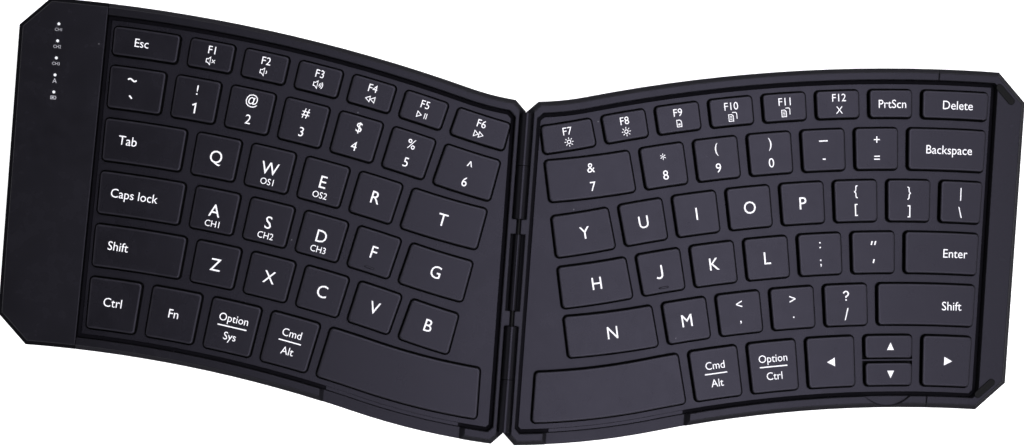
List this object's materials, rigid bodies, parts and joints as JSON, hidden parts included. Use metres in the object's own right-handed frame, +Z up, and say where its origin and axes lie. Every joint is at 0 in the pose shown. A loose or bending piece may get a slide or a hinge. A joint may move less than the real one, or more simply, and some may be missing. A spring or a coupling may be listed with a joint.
{
  "type": "folding keyboard",
  "caption": "Thin folding keyboard in two halves on a low centre hinge, with curved key rows, scissor-switch keycaps and rubber feet.",
  "frame": {"origin": "centre of the unfolded keyboard in plan, at the height of the desk under the feet", "axes": "+X to the typist's right along the length, +Y away from the typist, +Z up; the hinge axis lies along Y at x = 0"},
  "size_m": [0.287, 0.1164, 0.0099],
  "materials": {
    "case": "fine matt texture, charcoal",
    "keycaps": "fine matt texture, near black",
    "deck": "matt, near black",
    "light_pipe": "clear to milky, polished",
    "plate": "stamped sheet",
    "membrane": "printed polyester film",
    "silicone": "milky silicone",
    "links": "moulded acetal",
    "board": "green solder mask",
    "battery": "foil pouch",
    "port_steel": "drawn steel shell",
    "soft_rubber": "soft matt rubber",
    "screw_steel": "dark plated",
    "magnet": "nickel plated",
    "hinge_metal": "dark satin paint over die-cast metal",
    "pin_steel": "drawn steel",
    "flex": "amber polyimide film"
  },
  "bodies": {
    "left_half": {"left_base_shell": "case", "left_rim_frame": "case", "left_key_deck": "deck", "left_support_plate": "plate", "left_membrane": "membrane", "left_rubber_domes": "silicone", "left_scissor_links": "links", "left_feet": "soft_rubber", "left_case_screws": "screw_steel", "left_magnets": "magnet", "left_hinge_knuckles": "hinge_metal", "control_pod_cover": "case", "status_light_pipes": "light_pipe", "control_board": "board", "battery_cell": "battery", "charge_port": "port_steel", "hinge_pin": "pin_steel", "hinge_flex_cable": "flex"},
    "right_half": {"right_base_shell": "case", "right_rim_frame": "case", "right_key_deck": "deck", "right_end_cap": "case", "right_bumpers": "soft_rubber", "right_support_plate": "plate", "right_membrane": "membrane", "right_rubber_domes": "silicone", "right_scissor_links": "links", "right_feet": "soft_rubber", "right_case_screws": "screw_steel", "right_magnets": "magnet", "right_hinge_knuckles": "hinge_metal"},
    "esc_key": {"esc_key": "keycaps"},
    "left_function_keys": {"left_function_keys": "keycaps"},
    "left_number_keys": {"left_number_keys": "keycaps"},
    "tab_key": {"tab_key": "keycaps"},
    "left_upper_keys": {"left_upper_keys": "keycaps"},
    "caps_lock_key": {"caps_lock_key": "keycaps"},
    "left_home_keys": {"left_home_keys": "keycaps"},
    "left_shift_key": {"left_shift_key": "keycaps"},
    "left_lower_keys": {"left_lower_keys": "keycaps"},
    "left_ctrl_key": {"left_ctrl_key": "keycaps"},
    "fn_key": {"fn_key": "keycaps"},
    "left_option_key": {"left_option_key": "keycaps"},
    "left_cmd_key": {"left_cmd_key": "keycaps"},
    "left_space_bar": {"left_space_bar": "keycaps"},
    "right_function_keys": {"right_function_keys": "keycaps"},
    "backspace_key": {"backspace_key": "keycaps"},
    "right_number_keys": {"right_number_keys": "keycaps"},
    "right_upper_keys": {"right_upper_keys": "keycaps"},
    "enter_key": {"enter_key": "keycaps"},
    "right_home_keys": {"right_home_keys": "keycaps"},
    "right_shift_key": {"right_shift_key": "keycaps"},
    "right_lower_keys": {"right_lower_keys": "keycaps"},
    "arrow_left_key": {"arrow_left_key": "keycaps"},
    "arrow_up_key": {"arrow_up_key": "keycaps"},
    "arrow_down_key": {"arrow_down_key": "keycaps"},
    "arrow_right_key": {"arrow_right_key": "keycaps"},
    "right_option_key": {"right_option_key": "keycaps"},
    "right_cmd_key": {"right_cmd_key": "keycaps"},
    "right_space_bar": {"right_space_bar": "keycaps"}
  },
  "joints": [
    {"name": "fold", "type": "hinge", "parent": "left_half", "child": "right_half", "pos_m": [0, -0.009, 0.0082], "axis": [0, -1, 0], "range_deg": [0, 180], "deforming": ["hinge_flex_cable"]},
    {"name": "esc_key_press", "type": "slide", "parent": "left_half", "child": "esc_key", "axis": [0, 0, -1], "range_m": [0, 0.0015], "stiffness_N_per_m": 300, "springref_m": -0.0005},
    {"name": "left_function_keys_press", "type": "slide", "parent": "left_half", "child": "left_function_keys", "axis": [0, 0, -1], "range_m": [0, 0.0015], "stiffness_N_per_m": 600, "springref_m": -0.0005},
    {"name": "left_number_keys_press", "type": "slide", "parent": "left_half", "child": "left_number_keys", "axis": [0, 0, -1], "range_m": [0, 0.0015], "stiffness_N_per_m": 600, "springref_m": -0.0005},
    {"name": "tab_key_press", "type": "slide", "parent": "left_half", "child": "tab_key", "axis": [0, 0, -1], "range_m": [0, 0.0015], "stiffness_N_per_m": 300, "springref_m": -0.0005},
    {"name": "left_upper_keys_press", "type": "slide", "parent": "left_half", "child": "left_upper_keys", "axis": [0, 0, -1], "range_m": [0, 0.0015], "stiffness_N_per_m": 600, "springref_m": -0.0005},
    {"name": "caps_lock_key_press", "type": "slide", "parent": "left_half", "child": "caps_lock_key", "axis": [0, 0, -1], "range_m": [0, 0.0015], "stiffness_N_per_m": 300, "springref_m": -0.0005},
    {"name": "left_home_keys_press", "type": "slide", "parent": "left_half", "child": "left_home_keys", "axis": [0, 0, -1], "range_m": [0, 0.0015], "stiffness_N_per_m": 600, "springref_m": -0.0005, "deforming": ["left_rubber_domes", "left_scissor_links"]},
    {"name": "left_shift_key_press", "type": "slide", "parent": "left_half", "child": "left_shift_key", "axis": [0, 0, -1], "range_m": [0, 0.0015], "stiffness_N_per_m": 300, "springref_m": -0.0005},
    {"name": "left_lower_keys_press", "type": "slide", "parent": "left_half", "child": "left_lower_keys", "axis": [0, 0, -1], "range_m": [0, 0.0015], "stiffness_N_per_m": 600, "springref_m": -0.0005},
    {"name": "left_ctrl_key_press", "type": "slide", "parent": "left_half", "child": "left_ctrl_key", "axis": [0, 0, -1], "range_m": [0, 0.0015], "stiffness_N_per_m": 300, "springref_m": -0.0005},
    {"name": "fn_key_press", "type": "slide", "parent": "left_half", "child": "fn_key", "axis": [0, 0, -1], "range_m": [0, 0.0015], "stiffness_N_per_m": 300, "springref_m": -0.0005},
    {"name": "left_option_key_press", "type": "slide", "parent": "left_half", "child": "left_option_key", "axis": [0, 0, -1], "range_m": [0, 0.0015], "stiffness_N_per_m": 300, "springref_m": -0.0005},
    {"name": "left_cmd_key_press", "type": "slide", "parent": "left_half", "child": "left_cmd_key", "axis": [0, 0, -1], "range_m": [0, 0.0015], "stiffness_N_per_m": 300, "springref_m": -0.0005},
    {"name": "left_space_bar_press", "type": "slide", "parent": "left_half", "child": "left_space_bar", "axis": [0, 0, -1], "range_m": [0, 0.0015], "stiffness_N_per_m": 300, "springref_m": -0.0005},
    {"name": "right_function_keys_press", "type": "slide", "parent": "right_half", "child": "right_function_keys", "axis": [0, 0, -1], "range_m": [0, 0.0015], "stiffness_N_per_m": 600, "springref_m": -0.0005},
    {"name": "backspace_key_press", "type": "slide", "parent": "right_half", "child": "backspace_key", "axis": [0, 0, -1], "range_m": [0, 0.0015], "stiffness_N_per_m": 300, "springref_m": -0.0005},
    {"name": "right_number_keys_press", "type": "slide", "parent": "right_half", "child": "right_number_keys", "axis": [0, 0, -1], "range_m": [0, 0.0015], "stiffness_N_per_m": 600, "springref_m": -0.0005},
    {"name": "right_upper_keys_press", "type": "slide", "parent": "right_half", "child": "right_upper_keys", "axis": [0, 0, -1], "range_m": [0, 0.0015], "stiffness_N_per_m": 600, "springref_m": -0.0005},
    {"name": "enter_key_press", "type": "slide", "parent": "right_half", "child": "enter_key", "axis": [0, 0, -1], "range_m": [0, 0.0015], "stiffness_N_per_m": 300, "springref_m": -0.0005},
    {"name": "right_home_keys_press", "type": "slide", "parent": "right_half", "child": "right_home_keys", "axis": [0, 0, -1], "range_m": [0, 0.0015], "stiffness_N_per_m": 600, "springref_m": -0.0005, "deforming": ["right_rubber_domes", "right_scissor_links"]},
    {"name": "right_shift_key_press", "type": "slide", "parent": "right_half", "child": "right_shift_key", "axis": [0, 0, -1], "range_m": [0, 0.0015], "stiffness_N_per_m": 300, "springref_m": -0.0005},
    {"name": "right_lower_keys_press", "type": "slide", "parent": "right_half", "child": "right_lower_keys", "axis": [0, 0, -1], "range_m": [0, 0.0015], "stiffness_N_per_m": 600, "springref_m": -0.0005},
    {"name": "arrow_left_key_press", "type": "slide", "parent": "right_half", "child": "arrow_left_key", "axis": [0, 0, -1], "range_m": [0, 0.0015], "stiffness_N_per_m": 300, "springref_m": -0.0005},
    {"name": "arrow_up_key_press", "type": "slide", "parent": "right_half", "child": "arrow_up_key", "axis": [0, 0, -1], "range_m": [0, 0.0015], "stiffness_N_per_m": 300, "springref_m": -0.0005},
    {"name": "arrow_down_key_press", "type": "slide", "parent": "right_half", "child": "arrow_down_key", "axis": [0, 0, -1], "range_m": [0, 0.0015], "stiffness_N_per_m": 300, "springref_m": -0.0005},
    {"name": "arrow_right_key_press", "type": "slide", "parent": "right_half", "child": "arrow_right_key", "axis": [0, 0, -1], "range_m": [0, 0.0015], "stiffness_N_per_m": 300, "springref_m": -0.0005},
    {"name": "right_option_key_press", "type": "slide", "parent": "right_half", "child": "right_option_key", "axis": [0, 0, -1], "range_m": [0, 0.0015], "stiffness_N_per_m": 300, "springref_m": -0.0005},
    {"name": "right_cmd_key_press", "type": "slide", "parent": "right_half", "child": "right_cmd_key", "axis": [0, 0, -1], "range_m": [0, 0.0015], "stiffness_N_per_m": 300, "springref_m": -0.0005},
    {"name": "right_space_bar_press", "type": "slide", "parent": "right_half", "child": "right_space_bar", "axis": [0, 0, -1], "range_m": [0, 0.0015], "stiffness_N_per_m": 300, "springref_m": -0.0005}
  ]
}
